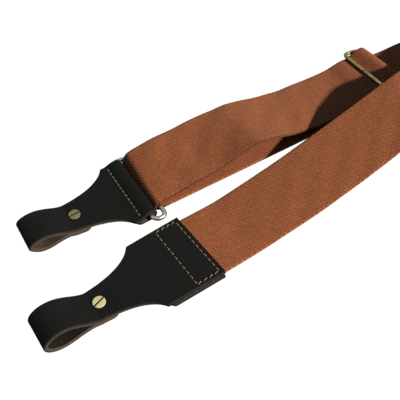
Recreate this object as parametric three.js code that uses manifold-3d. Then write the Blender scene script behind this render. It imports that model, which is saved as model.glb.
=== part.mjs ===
// An adjustable webbing strap with two leather belt-loop ends, laid out as a long hairpin.
// Millimetres, +Z up. +X runs along the strap from the leather ends to the turn-round.
// While it is laid out, the origin is under the middle of the front leather end's wide edge.
import * as THREE from "three";
import { mergeVertices } from "three/addons/utils/BufferGeometryUtils.js";
import Module from "manifold-3d";

const wasm = await Module();
wasm.setup();

// ---- driving dimensions -------------------------------------------------------------------
const GAP = 0.3; // clearance between touching pieces
const WEB = { width: 50, thick: 1.8 };
const LEATHER = 2.8; // leather thickness
const RING = { wire: 1.6, pitch: 9.2, barZ: 4.85, webZ: 4.2, half: 30.6, corners: [2.3, 4.2], shift: -3.3 };
const SLIDER = { wire: 1.5, nearX: 212.5, farX: 227.5, nearZ: 12.5, farZ: 10.8, half: 28.3, corners: [4, 4], butt: 0.9, buttY: 2.8 };
const SCREW = { head: 4, headThick: 0.9, post: 2.5, bore: 1.6, shank: 1.3, hole: 2.8, slot: 1.1 };
const FRONT = { yaw: 1, screwX: -72.5, reach: 1, rise: 1, x: 0, y: 0, slotTurn: 17 };
const BACK = { yaw: -2, screwX: -48.8, reach: 0.9, rise: 0.57, x: -7, y: 64.2, slotTurn: 3 };
const FRONT_TAB = { half: 26.2, shoulderX: -39.5, shoulder: 25.3, strip: 10.9, stripX: -78 };
const FRONT_SKEW = 1.8; // how much further +X the front leather's wide edge is at -Y than at +Y
const BACK_WEB = { yaw: -2, x: -6.9, y: 67.7 }; // the back webbing lies a little off the leather's middle
const BACK_TAB = { half: 27, shoulderX: -16.5, shoulder: 27.6, strip: 11.8, stripX: -58 };
const BACK_SKEW = { y: 1.4, from: -46, to: -18 }; // how far the back leather's wide part is off its strip
const LAYER_Z = { return: 2.95, top: 6.05, sandwich: 6.45 }; // leather mid-heights
const THREAD = 0.35; // radius of a thread run
const BOX_STITCH = { near: 3.2, far: 18.6, half: 23.5 };
const STITCH_LINE = { x: -12.2, half: 25.2 };

const COLOURS = {
  leather: { color: 0x1c1b19, roughness: 0.5, metalness: 0 },
  webbing: { color: 0xa8623f, roughness: 0.95, metalness: 0 },
  thread: { color: 0xb9a98a, roughness: 0.8, metalness: 0 },
  brass: { color: 0xd8cf8e, roughness: 0.3, metalness: 1 },
  old_brass: { color: 0x8d8763, roughness: 0.35, metalness: 1 },
  nickel: { color: 0xb0a999, roughness: 0.3, metalness: 1 },
};

// ---- solids -------------------------------------------------------------------------------
function closedMesh(points, triangles) {
  const geometry = new THREE.BufferGeometry();
  const flat = points.flatMap((p) => [p.x, p.y, p.z]);
  geometry.setAttribute("position", new THREE.Float32BufferAttribute(flat, 3));
  geometry.setIndex(triangles);
  return geometry;
}

function toSolid(geometry) {
  const bare = geometry.clone();
  bare.deleteAttribute("normal");
  bare.deleteAttribute("uv");
  const merged = mergeVertices(bare, 1e-4);
  return new wasm.Manifold(
    new wasm.Mesh({
      numProp: 3,
      vertProperties: new Float32Array(merged.attributes.position.array),
      triVerts: new Uint32Array(merged.index.array),
    }),
  );
}

function fromSolid(solid) {
  const mesh = solid.getMesh();
  const geometry = new THREE.BufferGeometry();
  geometry.setAttribute("position", new THREE.Float32BufferAttribute(mesh.vertProperties, 3));
  geometry.setIndex(Array.from(mesh.triVerts));
  return geometry;
}

// Rings of points joined in order; a closed sweep joins the last ring to the first.
function sweep(rings, closed) {
  const sides = rings[0].length;
  const triangles = [];
  const count = closed ? rings.length : rings.length - 1;
  for (let i = 0; i < count; i++) {
    const a = i * sides;
    const b = ((i + 1) % rings.length) * sides;
    for (let k = 0; k < sides; k++) {
      const next = (k + 1) % sides;
      triangles.push(a + k, a + next, b + next, a + k, b + next, b + k);
    }
  }
  if (!closed) {
    const last = (rings.length - 1) * sides;
    for (let k = 1; k < sides - 1; k++) {
      triangles.push(0, k + 1, k, last, last + k, last + k + 1);
    }
  }
  return closedMesh(rings.flat(), triangles);
}

// A flat strip along stations { at, side }, where side is the direction of its width.
function ribbon(stations, width, thick) {
  const rings = stations.map((station, i) => {
    const before = stations[Math.max(0, i - 1)].at;
    const after = stations[Math.min(stations.length - 1, i + 1)].at;
    const along = after.clone().sub(before).normalize();
    const side = station.side.clone();
    side.addScaledVector(along, -side.dot(along)).normalize();
    const normal = new THREE.Vector3().crossVectors(along, side).multiplyScalar(thick / 2);
    const half = side.multiplyScalar(width / 2);
    return [
      station.at.clone().sub(half).sub(normal),
      station.at.clone().add(half).sub(normal),
      station.at.clone().add(half).add(normal),
      station.at.clone().sub(half).add(normal),
    ];
  });
  return sweep(rings, false);
}

// Stations of a strip from a profile of [x, z, lean] points. Its width lies along Y, and lean is
// how many degrees its +Y edge is up.
function level(profile) {
  return profile.map(([x, z, lean = 0]) => {
    const tilt = THREE.MathUtils.degToRad(lean);
    return { at: new THREE.Vector3(x, 0, z), side: new THREE.Vector3(0, Math.cos(tilt), Math.sin(tilt)) };
  });
}

// A smooth profile through [x, z, lean] points. Lean is carried as a small Y while it is smoothed.
function smooth(points, steps) {
  const curve = new THREE.CatmullRomCurve3(
    points.map(([x, z, lean = 0]) => new THREE.Vector3(x, lean / 100, z)),
    false,
    "centripetal",
  );
  return curve.getSpacedPoints(steps).map((p) => [p.x, p.z, p.y * 100]);
}

// Points of an arc in the XZ plane, with angles in degrees from +X towards +Z.
function arc(cx, cz, radius, from, to, steps) {
  return Array.from({ length: steps + 1 }, (_, i) => {
    const angle = THREE.MathUtils.degToRad(from + ((to - from) * i) / steps);
    return [cx + radius * Math.cos(angle), cz + radius * Math.sin(angle)];
  });
}

// A round wire along points that all lie in one plane with the given normal.
function wire(points, radius, normal, closed, sides = 12) {
  const count = points.length;
  const rings = points.map((point, i) => {
    const before = points[closed ? (i + count - 1) % count : Math.max(0, i - 1)];
    const after = points[closed ? (i + 1) % count : Math.min(count - 1, i + 1)];
    const along = after.clone().sub(before).normalize();
    const outward = new THREE.Vector3().crossVectors(along, normal).normalize();
    return Array.from({ length: sides }, (_, k) => {
      const angle = (2 * Math.PI * k) / sides;
      return point
        .clone()
        .addScaledVector(outward, radius * Math.cos(angle))
        .addScaledVector(normal, -radius * Math.sin(angle));
    });
  });
  return sweep(rings, closed);
}

// A rounded rectangle between two bars along Y, at [x, z] near and far. half is half its length,
// corners are its radii at +Y and -Y, and it starts on the near bar at buttY.
function frameLoop(near, far, { half, corners, butt = 0, buttY = 0 }) {
  const across = new THREE.Vector3(far[0] - near[0], 0, far[1] - near[1]);
  const length = across.length();
  across.normalize();
  const at = (u, v) => new THREE.Vector3(near[0], 0, near[1]).addScaledVector(across, u).setY(v);
  const points = [at(0, buttY + butt / 2)];
  const turn = (isFar, sign, from) => {
    const corner = corners[sign > 0 ? 0 : 1];
    const cu = isFar ? length - corner : corner;
    const cv = sign * (half - corner);
    for (let i = 0; i <= 6; i++) {
      const angle = THREE.MathUtils.degToRad(from - (90 * i) / 6);
      points.push(at(cu + corner * Math.cos(angle), cv + corner * Math.sin(angle)));
    }
  };
  turn(false, 1, 180);
  turn(true, 1, 90);
  turn(true, -1, 0);
  turn(false, -1, -90);
  if (butt) points.push(at(0, buttY - butt / 2));
  const normal = new THREE.Vector3().crossVectors(across, new THREE.Vector3(0, 1, 0));
  return { points, normal };
}

// A closed run of thread laid on a surface at height z, through [x, y] corners.
function threadLoop(corners, z, closed) {
  const points = corners.map(([x, y]) => new THREE.Vector3(x, y, z));
  return wire(points, THREAD, new THREE.Vector3(0, 0, 1), closed, 6);
}

// ---- leather ------------------------------------------------------------------------------
// The belt loop: from the clamped waist at the screw, out, round and back under the screw.
function loopProfile({ screwX, reach, rise }) {
  const out = [[5.6, 6.3], [11, 9.3], [17, 13.9], [23, 17.5], [28, 18.6], [33, 17.9], [37.2, 14.8], [38.6, 10.8]];
  const back = [[37, 6.4], [32, 2.9], [25, 2.2], [16, 3.8], [9, 4.1], [5, 3.05], [0, LAYER_Z.return], [-8, LAYER_Z.return]];
  const raised = out.map(([dx, z]) => [dx, LAYER_Z.top + (z - LAYER_Z.top) * rise]);
  return [...raised, ...back].map(([dx, z]) => [screwX - dx * reach, z]);
}

// The plan of a leather end: wide part, concave waist and parallel loop strip.
function tabOutline({ half, shoulderX, shoulder, strip, stripX }, wideX, skew = 0) {
  const end = -125;
  const bend = { x: shoulderX - 5.5, y: shoulder * 0.65 };
  const flat = { x: (shoulderX + stripX) / 2, y: strip + 0.8 };
  const shape = new THREE.Shape();
  shape.moveTo(wideX + skew, -half);
  shape.lineTo(wideX, half);
  shape.lineTo(shoulderX, shoulder);
  shape.bezierCurveTo(bend.x, bend.y, flat.x, flat.y, stripX, strip);
  shape.lineTo(end, strip);
  shape.lineTo(end, -strip);
  shape.lineTo(stripX, -strip);
  shape.bezierCurveTo(flat.x, -flat.y, bend.x, -bend.y, shoulderX, -shoulder);
  shape.closePath();
  return new THREE.ExtrudeGeometry(shape, { depth: 30, bevelEnabled: false, curveSegments: 14 });
}

function screwHole(x) {
  const hole = new THREE.CylinderGeometry(SCREW.hole, SCREW.hole, 40, 20);
  return toSolid(hole.rotateX(Math.PI / 2).translate(x, 0, 0));
}

function cutTab(profile, tab, wideX, screwX, skew) {
  const strip = toSolid(ribbon(level(profile), 70, LEATHER));
  const outline = toSolid(tabOutline(tab, wideX, skew).translate(0, 0, -1));
  return fromSolid(strip.intersect(outline).subtract(screwHole(screwX)));
}

function frontTab() {
  const profile = smooth(
    [[0, LAYER_Z.sandwich], [-22, LAYER_Z.sandwich], [-45, 6.2], [-60, LAYER_Z.top], [FRONT.screwX, LAYER_Z.top], ...loopProfile(FRONT)],
    90,
  );
  profile[0] = [FRONT_SKEW + 0.2, LAYER_Z.sandwich, 0];
  return cutTab(profile, FRONT_TAB, 0, FRONT.screwX, FRONT_SKEW);
}

function backingLeather() {
  const shape = new THREE.Shape();
  const { half, shoulderX, shoulder } = FRONT_TAB;
  shape.moveTo(FRONT_SKEW, -half);
  shape.lineTo(0, half);
  shape.lineTo(shoulderX + 1, shoulder);
  shape.lineTo(shoulderX + 1, -shoulder);
  shape.closePath();
  return new THREE.ExtrudeGeometry(shape, { depth: LEATHER - 0.4, bevelEnabled: false });
}

// Moves the wide part of the back leather sideways, off the line of its strip.
function skewed(geometry) {
  const at = geometry.attributes.position;
  for (let i = 0; i < at.count; i++) {
    at.setY(i, at.getY(i) + BACK_SKEW.y * THREE.MathUtils.smoothstep(at.getX(i), BACK_SKEW.from, BACK_SKEW.to));
  }
  return geometry;
}

function backTab() {
  const radius = RING.wire + GAP + LEATHER / 2;
  const barX = -(radius + LEATHER / 2);
  const flapZ = RING.barZ - radius;
  const round = arc(barX, RING.barZ, radius, -90, 90, 14);
  const neck = smooth(
    [[barX, RING.barZ + radius], [-7.6, 7.6], [-12.5, 5.5], [-17, 4.7], [-24, 4.8], [-34, 5.4], [-40, 5.9], [BACK.screwX, LAYER_Z.top], ...loopProfile(BACK)],
    80,
  );
  const flap = smooth([[-17, 1.5], [-12.5, 1.5], [-8.2, 1.52], [barX, flapZ]], 10);
  return skewed(cutTab([...flap, ...round.slice(1), ...neck.slice(1)], BACK_TAB, 3, BACK.screwX));
}

// ---- metal --------------------------------------------------------------------------------
function postGeometry() {
  const top = 6.9;
  const lip = 0.1;
  const outline = [
    [0, lip], [SCREW.head - 0.4, lip], [SCREW.head, lip + 0.4], [SCREW.head, lip + SCREW.headThick],
    [SCREW.post, lip + SCREW.headThick], [SCREW.post, top], [SCREW.bore, top], [SCREW.bore, 1], [0, 1],
  ];
  return new THREE.LatheGeometry(outline.map(([r, z]) => new THREE.Vector2(r, z)), 32).rotateX(Math.PI / 2);
}

function screwGeometry(slotTurn) {
  const low = 7.75;
  const high = low + SCREW.headThick;
  const outline = [
    [0, 2.2], [SCREW.shank, 2.2], [SCREW.shank, low], [SCREW.head, low],
    [SCREW.head, high - 0.35], [SCREW.head - 0.45, high], [0, high],
  ];
  const turned = outline.map(([r, z]) => new THREE.Vector2(r, z));
  const body = new THREE.LatheGeometry(turned, 32).rotateX(Math.PI / 2);
  const slot = new THREE.BoxGeometry(12, SCREW.slot, 1).translate(0, 0, high).rotateZ(THREE.MathUtils.degToRad(slotTurn));
  return fromSolid(toSolid(body).subtract(toSolid(slot)));
}

function ringGeometry() {
  const barX = -(RING.wire + GAP + LEATHER);
  const near = [barX, RING.barZ];
  const far = [barX + RING.pitch, RING.webZ];
  const { points, normal } = frameLoop(near, far, RING);
  return wire(points.slice(1), RING.wire, normal, true).translate(0, RING.shift, 0);
}

function sliderGeometry() {
  const near = [SLIDER.nearX, SLIDER.nearZ];
  const far = [SLIDER.farX, SLIDER.farZ];
  const { points, normal } = frameLoop(near, far, SLIDER);
  return wire(points, SLIDER.wire, normal, false);
}

// ---- webbing, back leg (in the back leg's own frame) ---------------------------------------
const wrapX = -(RING.wire + GAP + LEATHER) + RING.pitch;
const wrapRadius = RING.wire + GAP + 0.4 + WEB.thick / 2;
const floorZ = WEB.thick / 2 + 0.1;
const endRadius = SLIDER.wire + GAP + WEB.thick / 2;
const JOIN = { wrap: 10, lower: 195, upper: 204.5, leg: 246.5 };

function ringWrap() {
  const round = arc(wrapX, RING.webZ, wrapRadius, 270, 140, 12);
  const loose = smooth([round[12], [2.7, 7.1, 1], [3.5, 8, 2.2], [4.8, 8.9, 4], [6.4, 9.35, 5.4], [JOIN.wrap, 10.1, 6.4]], 12);
  return ribbon(level([[JOIN.wrap, 1.1], ...round, ...loose.slice(1)]), WEB.width, WEB.thick);
}

function upperRun() {
  const from = JOIN.wrap + GAP;
  const arch = [
    [from, 10.15, 6.4], [20, 11.5, 6.9], [28, 12.3, 6.6], [36, 13.15, 5.6], [45, 13.8, 5.3], [53, 14.9, 4.7],
    [61, 16.05, 3.1], [70, 17.45, 0.6], [78, 18.65, -2.2], [86, 19.3, -4], [95, 18, -3.9], [105, 15.6, -2.9],
    [114, 13.05, -2.2], [124, 10.75, -1.7], [134, 9.15, -1.3], [145, 7.9, -0.8], [158, 7], [180, 6.5], [192, 7.2],
    [199, 8.9], [JOIN.upper, 9.9],
  ];
  return ribbon(level(smooth(arch, 60)), WEB.width, WEB.thick);
}

function lowerRun() {
  const run = [[JOIN.wrap + GAP, 1.05], [20, floorZ], [180, floorZ], [JOIN.lower, 1.3]];
  return ribbon(level(run), WEB.width, WEB.thick);
}

function sewnEnd() {
  const tail = smooth([[JOIN.lower + GAP, 1.3], [205, 2.7], [216, 5.9], [SLIDER.farX - 3, SLIDER.farZ - endRadius - 0.2]], 16);
  const round = arc(SLIDER.farX, SLIDER.farZ, endRadius, -90, 90, 12);
  const flap = smooth([[SLIDER.farX - 3, SLIDER.farZ + endRadius - 0.5], [218, 9.9], [211, 7.2], [203, 5.05]], 12);
  return ribbon(level([...tail, ...round, ...flap]), WEB.width - 0.6, WEB.thick);
}

function hump() {
  const over = SLIDER.farZ + SLIDER.wire + WEB.thick * 1.5 + 2 * GAP;
  const under = SLIDER.nearZ - SLIDER.wire - GAP - WEB.thick / 2;
  const path = [
    [JOIN.upper + GAP, 9.95], [209, 10.15], [SLIDER.nearX, under], [217.2, under + 2.3], [SLIDER.farX - 1, over],
    [SLIDER.farX + 4.5, over - 2.3], [237.5, 6.2], [241.5, 2.6], [JOIN.leg - 2 * GAP, floorZ],
  ];
  return ribbon(level(smooth(path, 48)), WEB.width, WEB.thick);
}

// ---- webbing, turn-round and front leg (in the whole strap's frame) --------------------------
// Centre line of the free webbing: [x, y, z, lean], where lean is its roll in degrees.
const BACK_START = JOIN.leg;
function backLine(x) {
  const yaw = THREE.MathUtils.degToRad(BACK_WEB.yaw);
  return [BACK_WEB.x + x * Math.cos(yaw), BACK_WEB.y + x * Math.sin(yaw), floorZ, 0];
}
const TURN = { x: 388, z: 17.8, radius: 16.6 };
const FREE_LINE = [
  backLine(BACK_START), backLine(BACK_START + 30), [315, 55, floorZ, 0], [350, 51.2, floorZ, 0], [373, 48.2, floorZ + 0.1, 0],
  [TURN.x - 2, 46.4, floorZ + 0.5, 0],
  ...[-60, -30, 0, 30, 60].map((angle) => {
    const a = THREE.MathUtils.degToRad(angle);
    return [TURN.x + TURN.radius * Math.cos(a), 40 - angle * 0.08, TURN.z + TURN.radius * Math.sin(a), 0];
  }),
  [TURN.x - 3, 33.6, TURN.z + TURN.radius, 0],
  [350, 28.4, 33.2, 1], [310, 22.4, 32, 2], [270, 16.3, 30.2, 3], [232, 10.8, 28.6, 3.5], [200, 7.2, 28.8, 6.5],
  [170, 5.6, 22.5, 9], [140, 4.7, 15.5, 10], [110, 4, 9.4, 9], [80, 3.2, 4.6, 6], [52, 2.4, 2.3, 2.4],
  [30, 1.5, 1.6, 0], [14, 0.7, 2.8, 0], [2, 0.2, 3.65, 0], [-8, 0, 3.75, 0], [-21, -0.3, 3.75, 0],
];

function freeStations() {
  const curve = new THREE.CatmullRomCurve3(
    FREE_LINE.map(([x, y, z]) => new THREE.Vector3(x, y, z)),
    false,
    "centripetal",
  );
  const steps = 400;
  const leans = FREE_LINE.map((p) => p[3]);
  return Array.from({ length: steps + 1 }, (_, i) => {
    const t = i / steps;
    const at = curve.getPoint(t);
    const along = curve.getTangent(t);
    const place = t * (leans.length - 1);
    const k = Math.min(leans.length - 2, Math.floor(place));
    const lean = THREE.MathUtils.degToRad(THREE.MathUtils.lerp(leans[k], leans[k + 1], place - k));
    const flat = new THREE.Vector3(0, 1, 0);
    const side = flat.addScaledVector(along, -flat.y * along.y).normalize();
    side.applyAxisAngle(along, -lean * Math.sign(along.x || 1) * -1);
    return { at, side };
  });
}

// Cut the free line where it passes the turn-round's two ends, leaving a small gap.
function freePiece(from, to, every) {
  const all = freeStations();
  const last = all.length - 1;
  const a = Math.round(from * last);
  const b = Math.round(to * last);
  const picked = all.slice(a, b + 1).filter((_, i) => i % every === 0 || i === b - a);
  if (to < 1) {
    const end = picked[picked.length - 1];
    const back = picked[picked.length - 2].at.clone().sub(end.at).setLength(GAP);
    end.at = end.at.clone().add(back);
  }
  return ribbon(picked, WEB.width, WEB.thick);
}

// ---- assembly -----------------------------------------------------------------------------
function piece(name, geometry, look) {
  geometry.computeVertexNormals();
  const mesh = new THREE.Mesh(geometry, new THREE.MeshStandardMaterial(COLOURS[look]));
  mesh.name = name;
  return mesh;
}

function placed(pieces, { x, y, yaw }) {
  const group = new THREE.Group();
  group.position.set(x, y, 0);
  group.rotation.z = THREE.MathUtils.degToRad(yaw);
  group.add(...pieces);
  return group;
}

function screwPair(prefix, { screwX: x, slotTurn }, look) {
  const post = piece(`${prefix}_screw_post`, postGeometry(), look);
  const screw = piece(`${prefix}_screw`, screwGeometry(slotTurn), look);
  post.position.x = x;
  screw.position.x = x;
  return [post, screw];
}

function frontEnd() {
  const { near, far, half } = BOX_STITCH;
  const lean = (FRONT_SKEW * half) / (2 * FRONT_TAB.half);
  const corners = [[-near + 2 * lean, -half], [-near, half], [-far, half], [-far + lean, -half]];
  const top = LAYER_Z.sandwich + LEATHER / 2 + THREAD + 0.25;
  return placed(
    [
      piece("front_leather", frontTab(), "leather"),
      piece("front_backing_leather", backingLeather().translate(0, 0, 0.1), "leather"),
      piece("front_box_stitch", threadLoop(corners, top, true), "thread"),
      ...screwPair("front", FRONT, "brass"),
    ],
    FRONT,
  );
}

function backEnd() {
  const { x, half } = STITCH_LINE;
  const line = threadLoop([[x, BACK_SKEW.y - half], [x, BACK_SKEW.y + half]], 7.85, false);
  return placed(
    [
      piece("back_leather", backTab(), "leather"),
      piece("back_stitch_line", line, "thread"),
      ...screwPair("back", BACK, "old_brass"),
    ],
    BACK,
  );
}

function backWebbing() {
  return placed(
    [
      piece("ring", ringGeometry(), "nickel"),
      piece("webbing_ring_wrap", ringWrap(), "webbing"),
      piece("webbing_upper_run", upperRun(), "webbing"),
      piece("webbing_lower_run", lowerRun(), "webbing"),
      piece("webbing_sewn_end", sewnEnd(), "webbing"),
      piece("sewn_end_thread", threadLoop([[207, -22], [207, 22]], 7.35, false), "thread"),
      piece("webbing_hump", hump(), "webbing"),
      piece("slider", sliderGeometry(), "nickel"),
    ],
    BACK_WEB,
  );
}

const strap = new THREE.Group();
strap.add(
  frontEnd(),
  backEnd(),
  backWebbing(),
  piece("webbing_back_leg", freePiece(0, 0.16, 4), "webbing"),
  piece("webbing_turn", freePiece(0.16, 0.44, 2), "webbing"),
  piece("webbing_front_leg", freePiece(0.44, 1, 3), "webbing"),
);

// The origin moves to the resting surface, under the middle of the whole layout.
const layout = new THREE.Box3().setFromObject(strap, true);
const middle = layout.getCenter(new THREE.Vector3());
strap.position.set(-middle.x, -middle.y, -layout.min.z);

export default strap;
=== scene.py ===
"""An adjustable webbing strap with two leather belt-loop ends, laid out as a long hairpin.

Lengths in this file are in millimetres in the layout's own frame: its origin is under the middle
of the front leather end's wide edge, +X runs to the turn-round and +Z is up. place() moves points
to the row frame, in metres.
"""
import math

import bpy
import numpy as np
from mathutils import Matrix, Vector


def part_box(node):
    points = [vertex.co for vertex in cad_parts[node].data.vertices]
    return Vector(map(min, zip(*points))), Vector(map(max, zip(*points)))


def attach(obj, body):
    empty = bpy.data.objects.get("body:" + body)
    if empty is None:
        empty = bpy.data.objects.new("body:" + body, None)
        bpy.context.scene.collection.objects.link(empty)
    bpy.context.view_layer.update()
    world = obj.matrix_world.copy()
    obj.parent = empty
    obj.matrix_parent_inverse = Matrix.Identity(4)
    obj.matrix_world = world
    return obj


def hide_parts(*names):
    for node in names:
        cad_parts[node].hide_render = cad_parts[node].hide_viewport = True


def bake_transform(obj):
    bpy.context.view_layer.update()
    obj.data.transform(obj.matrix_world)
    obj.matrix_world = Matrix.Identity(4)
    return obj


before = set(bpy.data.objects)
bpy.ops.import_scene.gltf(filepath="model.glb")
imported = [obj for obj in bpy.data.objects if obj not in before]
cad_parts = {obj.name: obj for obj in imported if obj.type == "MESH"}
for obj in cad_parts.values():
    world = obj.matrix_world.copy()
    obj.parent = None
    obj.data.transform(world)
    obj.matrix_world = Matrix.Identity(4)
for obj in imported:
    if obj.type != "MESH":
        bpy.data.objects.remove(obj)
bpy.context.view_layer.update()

MM = 0.001

# ---- the same driving dimensions as the CAD model -----------------------------------------------
GAP = 0.3
WEB_WIDTH, WEB_THICK = 50, 1.8
LEATHER = 2.8
FRONT = {"yaw": 1, "x": 0, "y": 0, "screw": -72.5, "reach": 1, "rise": 1, "slot_turn": 17}
BACK = {"yaw": -2, "x": -7, "y": 64.2, "screw": -48.8, "reach": 0.9, "rise": 0.57, "slot_turn": 3}
FRONT_TAB = {"wide": 0, "half": 26.2, "shoulder_x": -39.5, "shoulder": 25.3, "strip": 10.9, "strip_x": -78}
FRONT_SKEW = 1.8  # how much further +X the front leather's wide edge is at -Y than at +Y
BACK_TAB = {"wide": 3, "half": 27, "shoulder_x": -16.5, "shoulder": 27.6, "strip": 11.8, "strip_x": -58}
BACK_SKEW = {"y": 1.4, "start": -46, "end": -18}
BACK_WEB = {"yaw": -2, "x": -6.9, "y": 67.7}
TOP_Z, RETURN_Z, SANDWICH_Z = 6.05, 2.95, 6.45
RING = {"wire": 1.6, "pitch": 9.2, "near_z": 4.85, "far_z": 4.2, "half": 30.6, "corners": (2.3, 4.2), "shift": -3.3}
SLIDER = {"wire": 1.5, "near": (212.5, 12.5), "far": (227.5, 10.8), "half": 28.3, "corners": (4, 4),
          "butt": 0.9, "butt_y": 2.8}
SCREW = {"head": 4, "low": 7.6, "high": 8.5, "shank": 1.3, "slot_half": 0.55, "slot_deep": 0.6}
POST = {"low": 0.1, "head_top": 1.3, "barrel": 2.5, "barrel_top": 6.9, "bore": 1.6, "bore_from": 1}
BOX_STITCH = {"near": -3.2, "far": -18.6, "half": 23.5, "across": 11, "along": 4}  # the last two are stitches
STITCH_LINE = {"x": -12.2, "half": 25.2, "holes": 14}
RING_NEAR = -(RING["wire"] + GAP + LEATHER)
RING_FAR = RING_NEAR + RING["pitch"]

# The layout's origin in the row frame, found from the front screw post, whose place is known.
post_low, post_high = (np.array(corner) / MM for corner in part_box("front_screw_post"))
yaw = math.radians(FRONT["yaw"])
ORIGIN = np.array([
    (post_low[0] + post_high[0]) / 2 - FRONT["screw"] * math.cos(yaw),
    (post_low[1] + post_high[1]) / 2 - FRONT["screw"] * math.sin(yaw),
    post_low[2] - POST["low"],
])


def place(points, end=None):
    """Points of the layout, or of one leather end's own frame, in the row frame in metres."""
    p = np.array(points, float).reshape(-1, 3)
    if end:
        a = math.radians(end["yaw"])
        x, y = p[:, 0].copy(), p[:, 1].copy()
        p[:, 0] = end["x"] + x * math.cos(a) - y * math.sin(a)
        p[:, 1] = end["y"] + x * math.sin(a) + y * math.cos(a)
    return (p + ORIGIN) * MM


# ---- curves -------------------------------------------------------------------------------------
def resample(points, step):
    """Points at even distances of about step along a polyline."""
    p = np.asarray(points, float)
    along = np.concatenate([[0], np.cumsum(np.linalg.norm(np.diff(p, axis=0), axis=1))])
    count = max(2, int(round(along[-1] / step)) + 1)
    at = np.linspace(0, along[-1], count)
    return np.column_stack([np.interp(at, along, p[:, k]) for k in range(p.shape[1])])


def smooth(points, parts=24):
    """A centripetal Catmull-Rom curve through points, each span cut into parts."""
    p = np.asarray(points, float)
    p = np.vstack([2 * p[0] - p[1], p, 2 * p[-1] - p[-2]])
    u = np.linspace(0, 1, parts + 1)[:-1, None]
    out = []
    for i in range(1, len(p) - 2):
        p0, p1, p2, p3 = p[i - 1 : i + 3]
        t0, t1, t2 = (max(np.linalg.norm(b - a), 1e-6) ** 0.5 for a, b in ((p0, p1), (p1, p2), (p2, p3)))
        m1 = ((p1 - p0) / t0 - (p2 - p0) / (t0 + t1) + (p2 - p1) / t1) * t1
        m2 = ((p2 - p1) / t1 - (p3 - p1) / (t1 + t2) + (p3 - p2) / t2) * t1
        a = 2 * p1 - 2 * p2 + m1 + m2
        b = -3 * p1 + 3 * p2 - 2 * m1 - m2
        out.append(a * u**3 + b * u**2 + m1 * u + p1)
    return np.vstack(out + [p[-2][None]])


def arc(cx, cz, radius, start, end, steps=24):
    """Points [x, z] of an arc, with angles in degrees from +X towards +Z."""
    a = np.radians(np.linspace(start, end, steps + 1))
    return np.column_stack([cx + radius * np.cos(a), cz + radius * np.sin(a)])


def upright(profile):
    """[x, z] points as [x, 0, z]."""
    p = np.asarray(profile, float)
    return np.column_stack([p[:, 0], np.zeros(len(p)), p[:, 1]])


def ease(t):
    """A smooth step from 0 to 1."""
    t = np.clip(t, 0, 1)
    return t * t * (3 - 2 * t)


def tangents(p):
    t = np.gradient(p, axis=0)
    return t / np.linalg.norm(t, axis=1)[:, None]


# ---- meshes -------------------------------------------------------------------------------------
def mesh_piece(name, vertices, faces, materials, face_materials=None, uv=None, sharp=50):
    """An object from vertices in metres. uv is one (u, v) for each face corner, in face order."""
    me = bpy.data.meshes.new(name)
    me.from_pydata(np.asarray(vertices, float).tolist(), [], [list(map(int, f)) for f in faces])
    for m in materials:
        me.materials.append(m)
    if face_materials is not None:
        me.polygons.foreach_set("material_index", np.asarray(face_materials, np.int32))
    if uv is not None:
        layer = me.uv_layers.new(name="lay")
        layer.data.foreach_set("uv", np.asarray(uv, np.float32).ravel())
    me.polygons.foreach_set("use_smooth", np.ones(len(me.polygons), bool))
    me.update()
    me.validate()
    me.set_sharp_from_angle(angle=math.radians(sharp))
    ob = bpy.data.objects.new(name, me)
    bpy.context.scene.collection.objects.link(ob)
    return ob


def strip_section(columns, half, thick, radius, arc_steps):
    """A strip's section: across and height of each point, and its group (0 top, 1 edge, 2 bottom).
    half may be one number for each station; the result then has a row for each."""
    half = np.atleast_1d(half)[:, None]
    v = np.linspace(-1, 1, columns)[None]
    flat = v * (half - radius)
    phi = np.radians(np.linspace(0, 90, arc_steps + 1)[1:])[None]
    corner_out = half - radius + radius * np.sin(phi)
    corner_up = np.broadcast_to(thick / 2 - radius + radius * np.cos(phi), corner_out.shape)
    level = np.full(flat.shape, thick / 2)
    full_round = thick / 2 - radius < 1e-6
    low_out, low_up = corner_out[:, ::-1], -corner_up[:, ::-1]
    if full_round:
        low_out, low_up = low_out[:, 1:], low_up[:, 1:]
    across = np.hstack([flat, corner_out, low_out, flat[:, ::-1], -corner_out, -low_out])
    height = np.hstack([level, corner_up, low_up, -level, -corner_up, -low_up])
    edge = corner_out.shape[1] + low_out.shape[1]
    group = np.array([0] * (columns - 1) + [1] * (edge + 1) + [2] * (columns - 1) + [1] * (edge + 1))
    return across, height, group


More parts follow.
